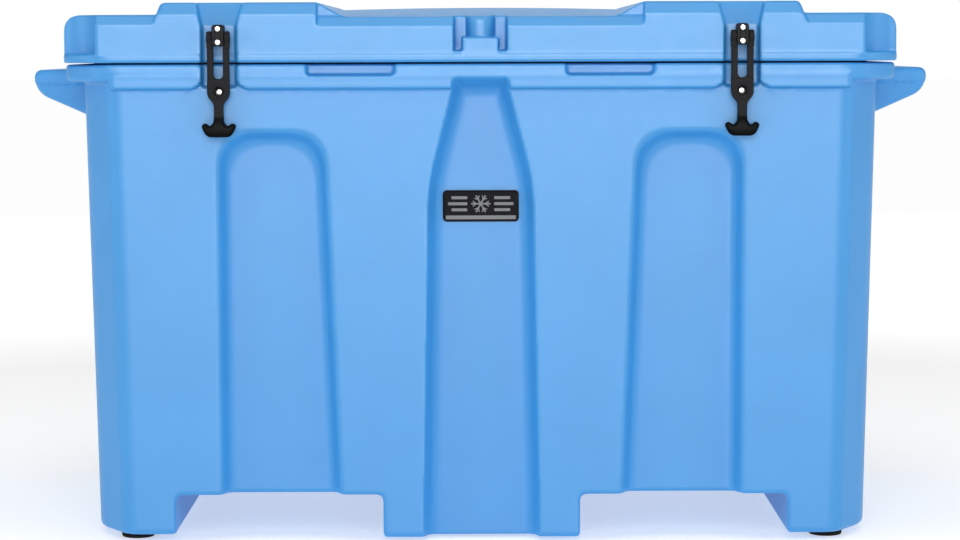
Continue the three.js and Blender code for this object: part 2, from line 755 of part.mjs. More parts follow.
for (const [word, sign] of [['left', -1], ['right', 1]]) {
  const x = sign * latchX;
  addPiece(`latch_strap_${word}`, latchStrap(x), looks.rubber);
  addPiece(`latch_anchor_${word}`, latchAnchor(x), looks.nylon);
  addPiece(`latch_pin_${word}`, rod('x', 3, 3, x - 16.8, x + 16.8, [pivotY, pivotZ], 12), looks.steel);
  addPiece(`anchor_screw_upper_${word}`, frontScrew(x, 766.7, -380.8, 4.2, 2.6, -338), looks.steel);
  addPiece(`anchor_screw_lower_${word}`, frontScrew(x, 746.9, -380.8, 4.2, 2.6, -338), looks.steel);
  addPiece(`keeper_${word}`, keeper(x), looks.nylon);
  addPiece(`keeper_screw_${word}`, frontScrew(x, keeperZ, -366.4, 5.1, 2, -351), looks.steel);
  addPiece(`tub_fill_plug_${word}`, fillPlug(sign * portX, 0, pocketTopZ + gap, 19.6, 14.7, 2.8), looks.nylon);
  addPiece(`hinge_pin_${word}`, hingePin(sign * hingeX), looks.steel);
  addPiece(`hinge_cap_${word}_inner`, hingeCap(sign * hingeX, -sign), looks.nylon);
  addPiece(`hinge_cap_${word}_outer`, hingeCap(sign * hingeX, sign), looks.nylon);
  for (const [place, side] of [['front', -1], ['rear', 1]]) {
    addPiece(`foot_${place}_${word}`, foot(sign * footX, side * footY), looks.rubber);
    addPiece(`foot_screw_${place}_${word}`, footScrew(sign * footX, side * footY), looks.steel);
  }
}

export default group;
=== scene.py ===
"""Looks of the insulated chest cooler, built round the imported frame."""
import bpy
import math
import numpy as np
from mathutils import Matrix, Vector


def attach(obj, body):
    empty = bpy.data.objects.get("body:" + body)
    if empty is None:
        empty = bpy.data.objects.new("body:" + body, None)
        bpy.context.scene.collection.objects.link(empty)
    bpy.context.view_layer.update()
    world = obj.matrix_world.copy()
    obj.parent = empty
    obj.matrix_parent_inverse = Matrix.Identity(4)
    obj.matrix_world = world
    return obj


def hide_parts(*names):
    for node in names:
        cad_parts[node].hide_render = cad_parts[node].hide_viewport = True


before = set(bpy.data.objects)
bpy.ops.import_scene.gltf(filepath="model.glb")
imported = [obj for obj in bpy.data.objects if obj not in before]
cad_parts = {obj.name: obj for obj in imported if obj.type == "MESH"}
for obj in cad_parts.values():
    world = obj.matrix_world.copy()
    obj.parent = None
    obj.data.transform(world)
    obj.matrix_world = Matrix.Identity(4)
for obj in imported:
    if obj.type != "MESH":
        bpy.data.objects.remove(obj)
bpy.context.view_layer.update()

# ---------------------------------------------------------------- distance fields (millimetres)


def smax(a, b, k):
    """Intersection with a rounded edge about k wide."""
    h = np.maximum(k - np.abs(a - b), 0.0)
    return np.maximum(a, b) + h * h / (4.0 * k)


def smin(a, b, k):
    """Union with a fillet about k wide."""
    h = np.maximum(k - np.abs(a - b), 0.0)
    return np.minimum(a, b) - h * h / (4.0 * k)


def cut(a, b, k):
    """a with b taken out of it, the edge rounded about k wide."""
    return smax(a, -b, k)


def plan(ax, ay, hx, hy, cut_x, cut_y, k):
    """Rectangle with its corners cut off, in plan."""
    length = math.hypot(cut_x, cut_y)
    nx = cut_y / length
    ny = cut_x / length
    corner = nx * (ax - hx) + ny * (ay - (hy - cut_y))
    return smax(np.maximum(ax - hx, ay - hy), corner, k)


def slab(v, low, high):
    """Between two parallel planes."""
    return np.maximum(low - v, v - high)


def bar(a, b, radius):
    """Endless round bar across the a, b plane."""
    return np.hypot(a, b) - radius


# Driving dimensions. The object is centred on X and Y, stands on Z = 0 and faces -Y.

DRAFT = 0.0195          # the walls draw in by this much for each unit down
BODY_HALF_X = 598.2     # half length and half depth of the tub at DRAFT_Z
BODY_HALF_Y = 362.0
DRAFT_Z = 690.0
RIM_HALF_X = 622.3
RIM_HALF_Y = 370.0
RIM_TOP_Z = 714.6
RIM_BOTTOM_Z = 689.4
HANDLE_TIP_X = 691.0
HANDLE_TOP_Z = 706.0
HANDLE_HALF_Y = 186.0
HANDLE_MIDDLE_X = 641.0
HANDLE_TAPER = 0.28     # its front and rear ends draw in towards the tip
ARCH_DEPTH = 25.0
ARCH_TOP_Z = 614.7
CHANNEL_DEPTH = 30.0
LEG_SPLIT_X = 303.0     # between the middle leg and the corner legs
MIDDLE_LEG_Z = 5.3
CORNER_LEG_Z = 10.7
POCKET_X = 303.1
POCKET_TOP_Z = 70.5
STRAP_RECESS_Y = -354.0
STRAP_RECESS_HALF = 25.5
LID_HALF_X = 624.0
LID_BOTTOM_Z = 717.0
LID_END_Z = 788.0
PAD_TOP_Z = 805.7
CROWN_EDGE_Z = 784.0
CROWN_RISE = 17.0
RAMP_START_Z = 771.0    # the strap channel of the lid opens out above this height
RECESS_FLOOR_Y = -341.0
GASKET_HALF_X = 581.0
GASKET_HALF_Y = 337.0
GASKET_CORNER = 40.0
LATCH_X = 385.3
LATCH_PIN_Y = -372.0
LATCH_PIN_Z = 755.0
KEEPER_Z = 673.9
SCREW_Z = (766.7, 746.9)
HINGE_X = 400.0
HINGE_Y = 373.0
HINGE_Z = 715.8
DRAIN_Z = 150.0
TUB_PORT_X = 303.0
LID_PORT_Y = 200.0
FOOT_X = 522.0
FOOT_Y = 292.0
BADGE_Z = 502.75
SOCKET_LOBES = 6.0


def tub_walls(ax, ay, z, hx, hy):
    """Drafted outside with cut corners; the corner legs stop higher, as they stand on feet."""
    body = plan(ax, ay, hx, hy, 52.0, 80.0, 16.0)
    under = np.where(ax < LEG_SPLIT_X, MIDDLE_LEG_Z, CORNER_LEG_Z) - z
    body = smax(body, under, 9.0)
    return np.maximum(body, z - 708.0)


def tub_rim(ax, ay, z):
    ring = plan(ax, ay, RIM_HALF_X, RIM_HALF_Y, 62.0, 62.0, 22.0)
    ring = smax(ring, z - RIM_TOP_Z, 5.0)
    return smax(ring, RIM_BOTTOM_Z - z, 7.0)


def rim_band(ax, ay, z):
    """Thicker band along the front and the back; its lower edge rises where the straps hang."""
    band = smax(ax - 548.0, ay - RIM_HALF_Y, 10.0)
    rise = np.clip((45.0 - np.abs(ax - LATCH_X)) / 19.0, 0.0, 1.0)
    band = smax(band, 677.7 + 9.0 * rise * rise - z, 4.0)
    return np.maximum(band, np.maximum(z - 700.0, 345.0 - ay))


def end_handle(ax, ay, z):
    """Moulded handle with a slanted underside and a gap for the fingers."""
    below = 0.3846 * (ax - 614.5) - 0.9231 * (z - 639.4)
    grip = smax(z - HANDLE_TOP_Z, ax - HANDLE_TIP_X, 14.0)
    grip = smax(grip, below, 22.0)
    ends = ay - HANDLE_HALF_Y - 4.0 * np.clip((z - 682.0) / 3.0, 0.0, 1.0)
    ends = (ends + np.maximum(ax - 604.0, 0.0) * HANDLE_TAPER) * 0.94
    grip = smax(grip, ends, 12.0)
    gap = smax(np.abs(ax - HANDLE_MIDDLE_X) - 18.0, ay - 142.0, 20.0)
    grip = cut(grip, gap, 10.0)
    return np.maximum(grip, 560.0 - ax)


def tub_inside(ax, ay, z):
    taper = (714.4 - z) * 0.0165
    inner = plan(ax, ay, 541.0 - taper, 306.0 - taper, 34.0, 34.0, 40.0)
    return smax(inner, 127.0 - z, 40.0)


def arched_panel(ax, z, behind):
    """Recess with a round top; behind is the distance in from the wall."""
    arch = smax(ax - 389.0, 209.0 + (z - 40.0) * 0.0378 - ax, 1.0)
    arch = smax(arch, z - ARCH_TOP_Z, 56.0)
    return smax((arch + 0.48 * behind) / 1.109, behind - ARCH_DEPTH, 9.0)


def bottle_channel(ax, z, behind):
    """Channel in the middle of the front, drawn in at the top like a bottle."""
    low = ax - (88.0 - (z + 20.0) * 0.01885)
    high = (ax - 77.5 + (z - 537.0) * 0.2582) * 0.968
    channel = smax(low, high, 8.0)
    channel = smax(channel, z - 690.0, 3.0)
    return smax((channel + 0.4 * behind) / 1.077, behind - CHANNEL_DEPTH, 13.0)


def finger_slot(ax, y, z):
    slot = smax(np.abs(ax - 191.5) - 65.0, 698.1 - z, 8.0)
    return smax(slot, y + 357.0, 6.0)


def tub_strap_channel(ax, y, z):
    slot = smax(np.abs(ax - LATCH_X) - STRAP_RECESS_HALF, y - STRAP_RECESS_Y, 5.0)
    return smax(slot, 681.0 - z, 6.0)


def tub_field(x, y, z):
    ax = np.abs(x)
    ay = np.abs(y)
    drop = (DRAFT_Z - z) * DRAFT
    hx = BODY_HALF_X - drop
    hy = BODY_HALF_Y - drop
    tub = smin(tub_walls(ax, ay, z, hx, hy), tub_rim(ax, ay, z), 6.0)
    tub = smin(tub, rim_band(ax, ay, z), 1.5)
    tub = smin(tub, end_handle(ax, ay, z), 10.0)
    tub = cut(tub, tub_inside(ax, ay, z), 9.0)
    tub = cut(tub, arched_panel(ax, z, hy - ay), 6.0)
    tub = cut(tub, bottle_channel(ax, z, hy + y), 2.5)
    tub = cut(tub, finger_slot(ax, y, z), 3.5)
    tub = cut(tub, tub_strap_channel(ax, y, z), 4.0)
    # fork pockets
    tub = cut(tub, smax(np.abs(ax - POCKET_X) - 155.5, z - POCKET_TOP_Z, 12.0), 6.0)
    # seats of the foam filling plugs
    r = np.hypot(ax - TUB_PORT_X, y)
    tub = cut(tub, np.maximum(r - 20.0, z - 73.9), 0.8)
    tub = cut(tub, np.maximum(r - 15.0, z - 79.0), 0.5)
    # drain, in the left end only
    r = np.hypot(y, z - DRAIN_Z)
    tub = cut(tub, smax(r - 38.0, x + 569.0, 6.0), 5.0)
    tub = cut(tub, np.maximum(r - 15.9, x + 500.0), 2.0)
    # hinge knuckles, with room for those of the lid and for the pin caps
    r = np.hypot(y - HINGE_Y, z - HINGE_Z)
    off = np.abs(ax - HINGE_X)
    tub = cut(tub, smax(r - 12.0, off - 26.0, 2.0), 2.0)
    tub = cut(tub, np.maximum(r - 9.0, np.abs(off - 62.0) - 3.2), 1.0)
    width = np.abs(off - 43.0) - 16.0
    knuckle = smax(r - 11.0, width, 2.0)
    web = np.maximum(np.maximum(width, slab(y, 362.0, 377.0)), slab(z, 696.0, 712.0))
    return smin(tub, smin(knuckle, web, 2.0), 2.0)


def lid_flange(ax, ay, z):
    flange = plan(ax, ay, LID_HALF_X, RIM_HALF_Y, 50.0, 50.0, 22.0)
    flange = smax(flange, LID_BOTTOM_Z - z, 3.5)
    return smax(flange, z - 730.4, 4.0)


def lid_block(ax, ay):
    """Sides above the flange, with a scooped corner."""
    block = smax(ax - 621.2, ay - 368.4, 10.0)
    return cut(block, bar(ax - 623.0, ay - 371.0, 56.0), 5.0)


def lid_top(ax, ay, z):
    """Low ends, two raised pads and a crowned middle, each with its own bevel."""
    ends = smax(z - LID_END_Z, ax - 621.2, 28.0)
    ends = smax(ends, (ay - 355.0 + (z - LID_END_Z) * 0.95) * 0.725, 4.0)
    ends = np.maximum(ends, 300.0 - ax)
    pads = smax(z - PAD_TOP_Z, (ay - 354.0 + (z - PAD_TOP_Z) * 0.85) * 0.762, 4.0)
    pads = smax(pads, (ax - 472.0 + (z - PAD_TOP_Z) * 0.3) * 0.958, 7.0)
    wall = 241.0 - ax
    flare = smax((wall + (z - PAD_TOP_Z) * 1.85) * 0.475, ay - 352.0, 3.0)
    pads = smax(pads, np.minimum(wall, flare), 2.5)
    arc = (1.0 - (ay / 352.0) ** 2) * (1.0 - 0.22 * (ax / 239.0) ** 2)
    middle = (z - CROWN_EDGE_Z - CROWN_RISE * arc) * 0.85
    middle = smax(middle, (ay - 356.0 + np.minimum(z - CROWN_EDGE_Z, 0.0) * 0.95) * 0.725, 1.0)
    middle = np.maximum(middle, ax - 300.0)
    return smin(smin(ends, pads, 4.0), middle, 4.0)


def lid_lip(ax, ay, z):
    """Inner plug that reaches down into the tub."""
    lip = plan(ax, ay, 536.0, 301.0, 34.0, 34.0, 20.0)
    lip = smax(lip, 701.0 - z, 8.0)
    return np.maximum(lip, z - 760.0)


def lid_strap_channel(ax, y, z):
    """Straight below; above, wider and with its floor slanting back as a ramp."""
    above = np.maximum(z - RAMP_START_Z, 0.0)
    wide = STRAP_RECESS_HALF + above * 0.24
    return smax(np.abs(ax - LATCH_X) - wide, (y - STRAP_RECESS_Y - above * 0.46) * 0.93, 5.0)


def finger_recess(ax, y, z):
    slot = smax(ax - 39.6, y - RECESS_FLOOR_Y, 5.0)
    return smax(slot, 733.6 - z, 2.5)


def finger_pull(x, ax, y, z, top):
    """Half round pull on a ledge, standing in the finger recess."""
    pull = smax(bar(x, y - RECESS_FLOOR_Y, 20.5), top - 0.5, 1.5)
    pull = np.maximum(pull, np.maximum(y + 335.0, 730.0 - z))
    ledge = smax(ax - 26.5, slab(z, 725.0, 753.2), 2.0)
    ledge = smax(ledge, slab(y, -368.6, -335.0), 2.5)
    return smin(pull, ledge, 2.0)


def gasket_line(ax, ay):
    """Distance in plan outside the middle line of the gasket, negative inside it."""
    return plan(ax, ay, GASKET_HALF_X, GASKET_HALF_Y, GASKET_CORNER, GASKET_CORNER, GASKET_CORNER)


def lid_field(x, y, z):
    ax = np.abs(x)
    ay = np.abs(y)
    top = lid_top(ax, ay, z)
    block = smax(lid_block(ax, ay), top, 2.0)
    block = np.maximum(block, 726.0 - z)
    lid = smin(lid_flange(ax, ay, z), block, 2.0)
    lid = smin(lid, lid_lip(ax, ay, z), 6.0)
    lid = cut(lid, lid_strap_channel(ax, y, z), 4.0)
    lid = cut(lid, finger_recess(ax, y, z), 2.0)
    lid = smin(lid, finger_pull(x, ax, y, z, top), 2.0)
    # gasket groove and the seat of the filling plug
    groove = np.abs(gasket_line(ax, ay)) - 4.3
    lid = cut(lid, np.maximum(groove, z - 722.2), 1.5)
    lid = cut(lid, np.maximum(np.hypot(x, y - LID_PORT_Y) - 13.0, z - 706.0), 0.8)
    # hinge knuckle, with room for those of the tub
    r = np.hypot(y - HINGE_Y, z - HINGE_Z)
    off = np.abs(ax - HINGE_X)
    lid = cut(lid, smax(r - 12.0, np.abs(off - 46.0) - 20.0, 2.0), 2.0)
    knuckle = smax(r - 11.0, off - 25.0, 2.0)
    web = np.maximum(off - 25.0, np.maximum(slab(y, 360.0, 380.0), slab(z, 718.0, 728.0)))
    return smin(lid, smin(knuckle, web, 2.0), 2.0)


# ---------------------------------------------------------------- small pieces, one field each


def box_plan(a, b, ha, hb, radius):
    """Rectangle with round corners, exact outside and inside."""
    qa = np.abs(a) - ha + radius
    qb = np.abs(b) - hb + radius
    outside = np.hypot(np.maximum(qa, 0.0), np.maximum(qb, 0.0))
    return outside + np.minimum(np.maximum(qa, qb), 0.0) - radius


def strap_field(x, y, z):
    ax = np.abs(x)
    # wide eye plate, its taper and the stem, seen from the front
    wide = smax(ax - 16.5, (ax - 7.0 - (z - 656.5) * 0.86) * 0.758, 4.0)
    wide = smax(wide, z - 693.0, 1.5)
    stem = smax(ax - 6.9, 612.0 - z, 1.0)
    stem = np.maximum(stem, z - 664.0)
    outline = smin(wide, stem, 3.0)
    strap = smax(outline, slab(y, -378.4, -367.0), 1.8)
    # the two strips and the eyes on the pivot pin
    open_slot = np.hypot(x, np.minimum(z - 700.2, 0.0)) - 7.1
    strips = smax(np.maximum(ax - 16.3, 688.0 - z), z - 752.0, 1.0)
    strips = smax(strips, slab(y, -377.2, -367.2), 2.4)
    strap = smin(strap, strips, 0.5)
    strap = cut(strap, open_slot, 1.6)
    eye = smax(bar(y - LATCH_PIN_Y, z - 754.4, 8.9), slab(ax, 9.15, 17.1), 2.4)
    neck = smax(slab(ax, 9.15, 16.9), slab(y, -378.0, -367.0), 2.0)
    neck = np.maximum(neck, slab(z, 738.0, 754.0))
    strap = smin(strap, smin(eye, neck, 2.0), 0.6)
    # cross handle: slanted flanks, raised round tips, dips beside the stem
    half = 15.8 + (z - 607.6) * 0.86
    grip = smax(ax - 24.2, (ax - half) * 0.758, 5.0)
    grip = smax(grip, 607.6 - z, 4.0)
    grip = smax(grip, z - 624.4, 2.0)
    tip = np.hypot(ax - 20.2, z - 623.9) - 4.1
    grip = smin(grip, tip, 3.0)
    collar = smax(ax - 7.3 - np.maximum(631.0 - z, 0.0) * 0.55, slab(z, 614.0, 638.2), 2.0)
    grip = smin(grip, collar, 4.0)
    front = -y - 384.4 + (z - 618.0) * (z - 618.0) * 0.018 + ax * ax * 0.004
    grip = smax(smax(grip, front, 5.0), y + 367.0, 3.0)
    strap = smin(strap, grip, 0.8)
    # raised collar round the eye, then the bores
    ring = smax(np.abs(np.hypot(x, z - KEEPER_Z) - 10.2) - 1.6, slab(y, -379.2, -372.0), 1.2)
    strap = smin(strap, ring, 1.0)
    strap = cut(strap, bar(x, z - KEEPER_Z, 7.95), 0.6)
    return cut(strap, bar(y - LATCH_PIN_Y, z - LATCH_PIN_Z, 3.3), 0.4)


def anchor_field(x, y, z):
    shape = smax(box_plan(x, z - 757.0, 8.75, 15.8, 4.2), slab(y, -381.0, -354.3), 1.8)
    shape = cut(shape, bar(y - LATCH_PIN_Y, z - LATCH_PIN_Z, 3.3), 0.4)
    # shallow relief between the two screw seats
    dish = smax(box_plan(x, z - 756.8, 4.4, 5.2, 1.6), y + 380.0, 0.5)
    shape = cut(shape, dish, 0.5)
    for height in SCREW_Z:
        r = np.hypot(x, z - height)
        shape = cut(shape, np.maximum(r - 4.6, y + 378.0), 0.5)
        shape = cut(shape, r - 2.5, 0.2)
    return shape


def turned_screw(u, v, w, head, height, length):
    """Pan head screw with a six lobed socket; w runs from the head into the work."""
    r = np.hypot(u, v)
    shape = smax(smax(r - head, 0.034 * r * r - w, 0.9), w - height, 0.3)
    shank = np.maximum(smax(r - 2.15, w - length, 0.8), 0.6 - w)
    shape = np.minimum(shape, shank)
    lobes = r - 2.1 - 0.35 * np.cos(SOCKET_LOBES * np.arctan2(v, u))
    return cut(shape, np.maximum(lobes, w - 2.6), 0.2)


def anchor_screw_field(x, y, z):
    return turned_screw(x, z, y + 380.8, 4.2, 2.6, 42.0)


def keeper_screw_field(x, y, z):
    return turned_screw(x, z - KEEPER_Z, y + 366.4, 5.1, 2.0, 15.0)


def foot_screw_field(x, y, z):
    return turned_screw(x, y, z - 2.2, 5.5, 3.0, 31.5)


def keeper_field(x, y, z):
    r = np.hypot(x, z - KEEPER_Z)
    shape = smax(r - 9.6, slab(y, -366.5, -362.0), 1.4)
    shape = cut(shape, np.maximum(r - 5.45, y + 364.2), 0.4)
    return cut(shape, r - 2.5, 0.2)


def foot_field(x, y, z):
    r = np.hypot(x, y)
    shape = smax(r - 24.6 - z * 0.13, slab(z, 0.0, 10.4), 2.6)
    shape = cut(shape, np.maximum(r - 6.3, z - 5.5), 1.0)
    for radius in (11.0, 15.0, 19.0):
        shape = cut(shape, np.maximum(np.abs(r - radius) - 0.8, z - 1.2), 0.5)
    shape = cut(shape, np.maximum(np.abs(z - 6.2) - 0.8, 24.6 - r), 0.5)
    return cut(shape, r - 2.8, 0.2)


def plug_field(r, u, v, w, flange, barrel, height):
    """Press-in plug with a cross shaped recess; w is the depth behind its face."""
    shape = smax(r - flange, slab(w, 0.0, height), 1.2)
    shape = smin(shape, smax(r - barrel, slab(w, 1.0, height + 4.5), 0.8), 0.5)
    cross = np.minimum(box_plan(u, v, 8.0, 1.7, 0.8), box_plan(u, v, 1.7, 8.0, 0.8))
    shape = cut(shape, np.maximum(cross, w - 1.4), 0.4)
    return cut(shape, np.maximum(np.abs(r - flange + 3.4) - 0.5, w - 0.5), 0.3)


def tub_plug_field(x, y, z):
    return plug_field(np.hypot(x, y), x, y, z - 70.8, 19.6, 14.7, 2.8)


def lid_plug_field(x, y, z):
    v = y - LID_PORT_Y
    return plug_field(np.hypot(x, v), x, v, z - 698.6, 16.0, 12.7, 2.1)


def pin_field(x, y, z):
    return smax(bar(y, z, 4.0), np.abs(x) - 61.0, 1.2)


def latch_pin_field(x, y, z):
    return smax(bar(y - LATCH_PIN_Y, z - LATCH_PIN_Z, 3.0), np.abs(x) - 16.8, 0.9)


def hinge_cap_field(x, y, z):
    """Push-on cap for the +X end of a pin, seat towards the pin."""
    r = np.hypot(y, z)
    shape = smax(smax(r - 8.0, x - 63.6 + 0.012 * r * r, 1.2), 59.3 - x, 0.8)
    return cut(shape, np.maximum(r - 4.3, x - 61.3), 0.2)


def bulkhead_field(x, y, z):
    r = np.hypot(y, z - DRAIN_Z)
    shape = smax(r - 20.9, slab(x, -573.0, -569.3), 1.4)
    shape = smin(shape, smax(r - 15.7, slab(x, -571.0, -532.0), 0.8), 0.5)
    shape = cut(shape, np.maximum(np.abs(r - 18.2) - 0.5, x + 572.4), 0.3)
    return cut(shape, r - 10.0, 0.8)


def drain_cap_field(x, y, z):
    r = np.hypot(y, z - DRAIN_Z)
    turn = np.arctan2(z - DRAIN_Z, y)
    wall = r - 16.0 - 0.95 * np.cos(6.0 * turn) + (-x - 576.0) * 0.09
    shape = smax(wall * 0.9, slab(x, -586.0, -575.9), 2.6)
    dish = np.maximum(r - 11.0, x + 584.6)
    wing = box_plan(y, z - DRAIN_Z, 10.8, 2.1, 1.2)
    shape = cut(shape, smax(dish, -wing, 1.0), 0.8)
    return smin(shape, smax(r - 9.6, slab(x, -578.0, -555.0), 1.2), 0.6)


def drain_seal_field(x, y, z):
    return np.hypot(np.hypot(y, z - DRAIN_Z) - 11.2, x + 574.4) - 1.2


def gasket_field(x, y, z):
    across = gasket_line(np.abs(x), np.abs(y))
    bead = smax(np.abs(across) - 4.0, slab(z, 714.7, 721.9), 3.0)
    groove = np.hypot(across, z - 714.4) - 1.1
    return cut(bead, groove, 0.8)


def badge_lift(y, z):
    """Height above the floor of the middle channel."""
    return -y - 332.0 + (DRAFT_Z - z) * DRAFT


def badge_field(x, y, z):
    lift = badge_lift(y, z)
    shape = smax(box_plan(x, z - BADGE_Z, 56.6, 23.45, 6.0), slab(lift, 0.3, 3.2), 0.9)
    panel = box_plan(x, z - BADGE_Z, 54.6, 21.45, 4.4)
    return cut(shape, np.maximum(panel, 2.6 - lift), 0.4)


def badge_mark_field(x, y, z):
    """Six armed frost star between two groups of plain bars."""
    lift = badge_lift(y, z)
    v = z - 506.0
    turn = np.arctan2(v, x)
    r = np.hypot(x, v)
    sector = np.abs((turn + math.pi / 6.0) % (math.pi / 3.0) - math.pi / 6.0)
    along = r * np.cos(sector)
    across = r * np.sin(sector)
    star = np.maximum(across - 1.25, slab(along, 0.0, 14.5))
    barb = np.abs(across - (along - 7.0) * 0.8) * 0.78 - 0.95
    mark = np.minimum(star, np.maximum(barb, slab(along, 7.0, 12.0)))
    for row, reach in ((9.0, 44.0), (0.0, 49.0), (-9.0, 44.0)):
        mid = (reach + 20.0) / 2.0
        mark = np.minimum(mark, box_plan(np.abs(x) - mid, v - row, (reach - 20.0) / 2.0, 2.3, 1.2))
    return smax(mark, slab(lift, 2.3, 3.1), 0.4)


def badge_strip_field(x, y, z):
    lift = badge_lift(y, z)
    return smax(box_plan(x, z - 485.6, 52.4, 3.0, 1.2), slab(lift, 2.3, 2.9), 0.4)


# ---------------------------------------------------------------- surface from a field


METRES = 0.001             # from the fields' millimetres to metres, and back
MILLIMETRES = 1000.0
POINTS_AT_ONCE = 60000     # limits of memory, without effect on the result
BLOCKS_AT_ONCE = 4000
BLOCK = 4                  # grid cells along one side of a block
GRID_SHIFT = 0.137         # keeps the grid off the flat faces, in steps


def evaluate(field, points):
    out = np.empty(len(points))
    for start in range(0, len(points), POINTS_AT_ONCE):
        p = points[start:start + POINTS_AT_ONCE]
        out[start:start + POINTS_AT_ONCE] = field(p[:, 0], p[:, 1], p[:, 2])
    return out


def gradient(field, points, eps):
    """Gradient of the field, from the four corners of a small tetrahedron."""
    signs = np.array([[1, -1, -1], [-1, -1, 1], [-1, 1, -1], [1, 1, 1]], dtype=float)
    total = np.zeros((len(points), 3))
    for s in signs:
        f = evaluate(field, points + s * eps)
        total += f[:, None] * s
    return total / (4.0 * eps)


def project(field, points, step, rounds):
    """Move points onto the surface along the gradient, never far in one round."""
    for _ in range(rounds):
        g = gradient(field, points, 0.05 * step)
        f = evaluate(field, points)
        move = g * (f / np.maximum((g * g).sum(1), 0.2))[:, None]
        size = np.linalg.norm(move, axis=1)
        move *= np.minimum(1.0, 0.6 * step / np.maximum(size, 1e-9))[:, None]
        points = points - move
    return points


def surface(field, low, high, step):
    """Closed quad surface of field = 0 on a grid, worked out in small blocks near it."""
    low = np.array(low, dtype=float) + GRID_SHIFT * step
    high = np.array(high, dtype=float)
    n = BLOCK
    side = n * step
    counts = np.ceil((high - low) / side).astype(int) + 1
    grids = np.meshgrid(*[np.arange(c) for c in counts], indexing="ij")
    blocks = np.stack([g.ravel() for g in grids], axis=1)
    centres = low + (blocks + 0.5) * side
    keep = np.abs(evaluate(field, centres)) < side * 1.05
    blocks = blocks[keep]
    corner = np.arange(n + 1)
    cx, cy, cz = np.meshgrid(corner, corner, corner, indexing="ij")
    offsets = np.stack([cx.ravel(), cy.ravel(), cz.ravel()], axis=1)
    total = counts * n
    ids = []
    verts = []
    edges = []
    for start in range(0, len(blocks), BLOCKS_AT_ONCE):
        part = blocks[start:start + BLOCKS_AT_ONCE]
        index = part[:, None, :] * n + offsets[None, :, :]
        points = low + index.reshape(-1, 3) * step
        f = evaluate(field, points).reshape(len(part), n + 1, n + 1, n + 1)
        inside = f < 0.0
        count = np.zeros((len(part), n, n, n), dtype=np.int32)
        acc = np.zeros((len(part), n, n, n, 3))
        for axis in range(3):
            others = [a for a in range(3) if a != axis]
            for da in (0, 1):
                for db in (0, 1):
                    first = [slice(None)] * 4
                    first[axis + 1] = slice(0, n)
                    first[others[0] + 1] = slice(da, da + n)
                    first[others[1] + 1] = slice(db, db + n)
                    second = list(first)
                    second[axis + 1] = slice(1, n + 1)
                    fa = f[tuple(first)]
                    fb = f[tuple(second)]
                    hit = inside[tuple(first)] != inside[tuple(second)]
                    t = np.where(hit, fa / np.where(hit, fa - fb, 1.0), 0.0)
                    count += hit
                    acc[..., axis] += t
                    acc[..., others[0]] += np.where(hit, da, 0)
                    acc[..., others[1]] += np.where(hit, db, 0)
        active = np.argwhere(count > 0)
        if not len(active):
            continue
        b, i, j, k = active.T
        cell = part[b] * n + active[:, 1:]
        local = acc[b, i, j, k] / count[b, i, j, k][:, None]
        verts.append(low + (cell + local) * step)
        ids.append((cell[:, 0] * total[1] + cell[:, 1]) * total[2] + cell[:, 2])
        here = inside[b, i, j, k]
        beyond = (inside[b, i + 1, j, k], inside[b, i, j + 1, k], inside[b, i, j, k + 1])
        flags = np.stack(beyond, axis=1)
        edges.append(np.where(flags != here[:, None], np.where(here, 1, -1)[:, None], 0))
    ids = np.concatenate(ids)
    verts = np.concatenate(verts)
    edges = np.concatenate(edges)
    order = np.argsort(ids)
    ids = ids[order]
    verts = verts[order]
    edges = edges[order]
    step_id = np.array([total[1] * total[2], total[2], 1])
    quads = []
    for axis in range(3):
        u = step_id[(axis + 1) % 3]
        v = step_id[(axis + 2) % 3]
        rows = np.nonzero(edges[:, axis])[0]
        base = ids[rows]
        ring = np.stack([base, base - u, base - u - v, base - v], axis=1)
        place = np.searchsorted(ids, ring)
        place = np.minimum(place, len(ids) - 1)
        good = (ids[place] == ring).all(axis=1)
        quad = place[good]
        sign = edges[rows[good], axis]
        quads.append(np.where(sign[:, None] > 0, quad, quad[:, ::-1]))
    return project(field, verts, step, 2), np.concatenate(quads)


def make_mesh(name, verts, faces):
    mesh = bpy.data.meshes.new(name)
    mesh.vertices.add(len(verts))
    mesh.vertices.foreach_set("co", (verts * METRES).ravel())
    width = faces.shape[1]
    mesh.loops.add(faces.size)
    mesh.loops.foreach_set("vertex_index", faces.ravel())
    mesh.polygons.add(len(faces))
    mesh.polygons.foreach_set("loop_start", np.arange(0, faces.size, width))
    mesh.polygons.foreach_set("loop_total", np.full(len(faces), width))
    mesh.update(calc_edges=True)
    mesh.validate()
    obj = bpy.data.objects.new(name, mesh)
    bpy.context.scene.collection.objects.link(obj)
    return obj


def shaped(name, field, low, high, step, ratio=1.0):
    """Object whose surface is the field's zero, thinned, with the field's own normals."""
    verts, faces = surface(field, low, high, step)
    obj = make_mesh(name, verts, faces)
    if ratio < 1.0:
        mod = obj.modifiers.new("thin", "DECIMATE")
        mod.ratio = ratio
        bpy.context.view_layer.objects.active = obj
        with bpy.context.temp_override(object=obj, active_object=obj, selected_objects=[obj]):
            bpy.ops.object.modifier_apply(modifier=mod.name)
        mesh = obj.data
        flat = np.empty(len(mesh.vertices) * 3)
        mesh.vertices.foreach_get("co", flat)
        verts = project(field, flat.reshape(-1, 3) * MILLIMETRES, step, 1)
        mesh.vertices.foreach_set("co", (verts * METRES).ravel())
        mesh.update()
    normals = gradient(field, verts, min(0.25 * step, 0.8))
    normals /= np.maximum(np.linalg.norm(normals, axis=1), 1e-9)[:, None]
    obj.data.polygons.foreach_set("use_smooth", np.ones(len(obj.data.polygons), dtype=bool))
    obj.data.normals_split_custom_set_from_vertices(normals.tolist())
    return obj


# ---------------------------------------------------------------- materials


